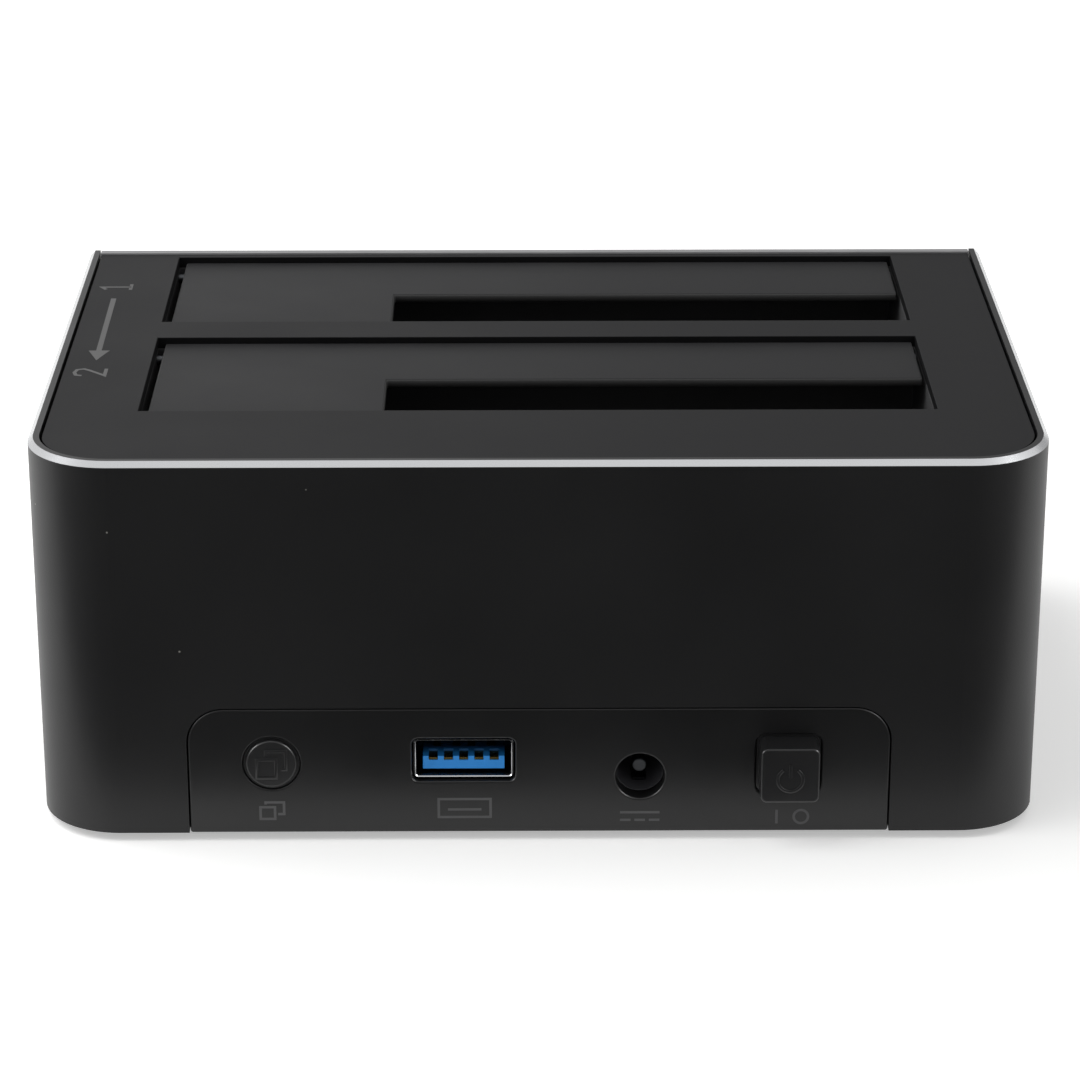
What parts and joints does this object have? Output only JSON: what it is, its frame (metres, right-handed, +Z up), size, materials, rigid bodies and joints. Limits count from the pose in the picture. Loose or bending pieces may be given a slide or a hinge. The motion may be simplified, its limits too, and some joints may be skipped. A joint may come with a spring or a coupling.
{
  "type": "hard drive docking station",
  "caption": "Upright drive dock: dark metal sleeve with a bright cut top edge, sprung L-shaped flaps over the drive bays, and a rear panel with buttons and sockets.",
  "frame": {"origin": "on the floor under the middle of the whole object, proud power button included", "axes": "+Z up, +X to the right when looking at the socket panel, +Y from the sockets to the front"},
  "size_m": [0.132, 0.0938, 0.0532],
  "materials": {
    "anodised_sleeve": "dark fine-blasted anodised, diamond-cut top edge",
    "deck_plastic": "moulded ABS, fine satin grain",
    "flap_plastic": "moulded ABS, fine satin grain",
    "panel_plastic": "moulded ABS, satin",
    "well_plastic": "moulded ABS, black",
    "button_plastic": "moulded ABS, satin",
    "pin_steel": "drawn steel wire",
    "screw_steel": "zinc-plated steel",
    "foot_rubber": "moulded rubber",
    "board_laminate": "green solder mask over glass laminate",
    "connector_plastic": "moulded nylon, black",
    "contact_gold": "gold-plated contacts",
    "socket_steel": "nickel-plated sheet steel",
    "usb_blue": "moulded nylon, bright blue",
    "plunger_plastic": "moulded nylon, natural",
    "chip_epoxy": "moulded epoxy",
    "ferrite": "pressed ferrite",
    "can_aluminium": "drawn aluminium can",
    "led_resin": "cast resin",
    "pipe_clear": "clear moulded polycarbonate"
  },
  "bodies": {
    "dock": {"housing_sleeve": "anodised_sleeve", "front_panel": "panel_plastic", "top_plate": "deck_plastic", "bay_well_a": "well_plastic", "bay_well_b": "well_plastic", "hinge_pin_a": "pin_steel", "hinge_pin_b": "pin_steel", "flap_spring_a": "pin_steel", "flap_spring_b": "pin_steel", "base_tray": "well_plastic", "rear_panel": "panel_plastic", "rubber_feet": "foot_rubber", "sleeve_screws": "screw_steel", "post_screws": "screw_steel", "well_screws": "screw_steel", "board_screws": "screw_steel", "panel_screws": "screw_steel", "main_board": "board_laminate", "sata_housing_a": "connector_plastic", "sata_housing_b": "connector_plastic", "sata_contacts_a": "contact_gold", "sata_contacts_b": "contact_gold", "usb_shell": "socket_steel", "usb_tongue": "usb_blue", "usb_contacts": "contact_gold", "dc_jack_body": "connector_plastic", "dc_jack_pin": "socket_steel", "dc_jack_spring": "contact_gold", "power_switch_body": "connector_plastic", "clone_switch_body": "connector_plastic", "bridge_chip": "chip_epoxy", "flash_chip": "chip_epoxy", "regulator_chips": "chip_epoxy", "power_inductors": "ferrite", "electrolytic_capacitors": "can_aluminium", "clock_crystal": "socket_steel", "status_leds": "led_resin", "light_pipe": "pipe_clear"},
    "flap_a": {"flap_a": "flap_plastic"},
    "flap_b": {"flap_b": "flap_plastic"},
    "power_button": {"power_button": "button_plastic", "power_switch_plunger": "plunger_plastic"},
    "clone_button": {"clone_button": "button_plastic", "clone_switch_plunger": "plunger_plastic"}
  },
  "joints": [
    {"name": "flap_a_hinge", "type": "hinge", "parent": "dock", "child": "flap_a", "pos_m": [0, 0.0423, 0.0502], "axis": [1, 0, 0], "range_deg": [0, 90], "stiffness_Nm_per_rad": 0.004, "springref_deg": -42.97, "deforming": ["flap_spring_a"]},
    {"name": "flap_b_hinge", "type": "hinge", "parent": "dock", "child": "flap_b", "pos_m": [0, 0.0053, 0.0502], "axis": [1, 0, 0], "range_deg": [0, 90], "stiffness_Nm_per_rad": 0.004, "springref_deg": -42.97, "deforming": ["flap_spring_b"]},
    {"name": "power_button_press", "type": "slide", "parent": "dock", "child": "power_button", "axis": [0, 1, 0], "range_m": [0, 0.0025], "stiffness_N_per_m": 400, "springref_m": -0.002},
    {"name": "clone_button_press", "type": "slide", "parent": "dock", "child": "clone_button", "axis": [0, 1, 0], "range_m": [0, 0.0006], "stiffness_N_per_m": 900, "springref_m": -0.0006}
  ]
}
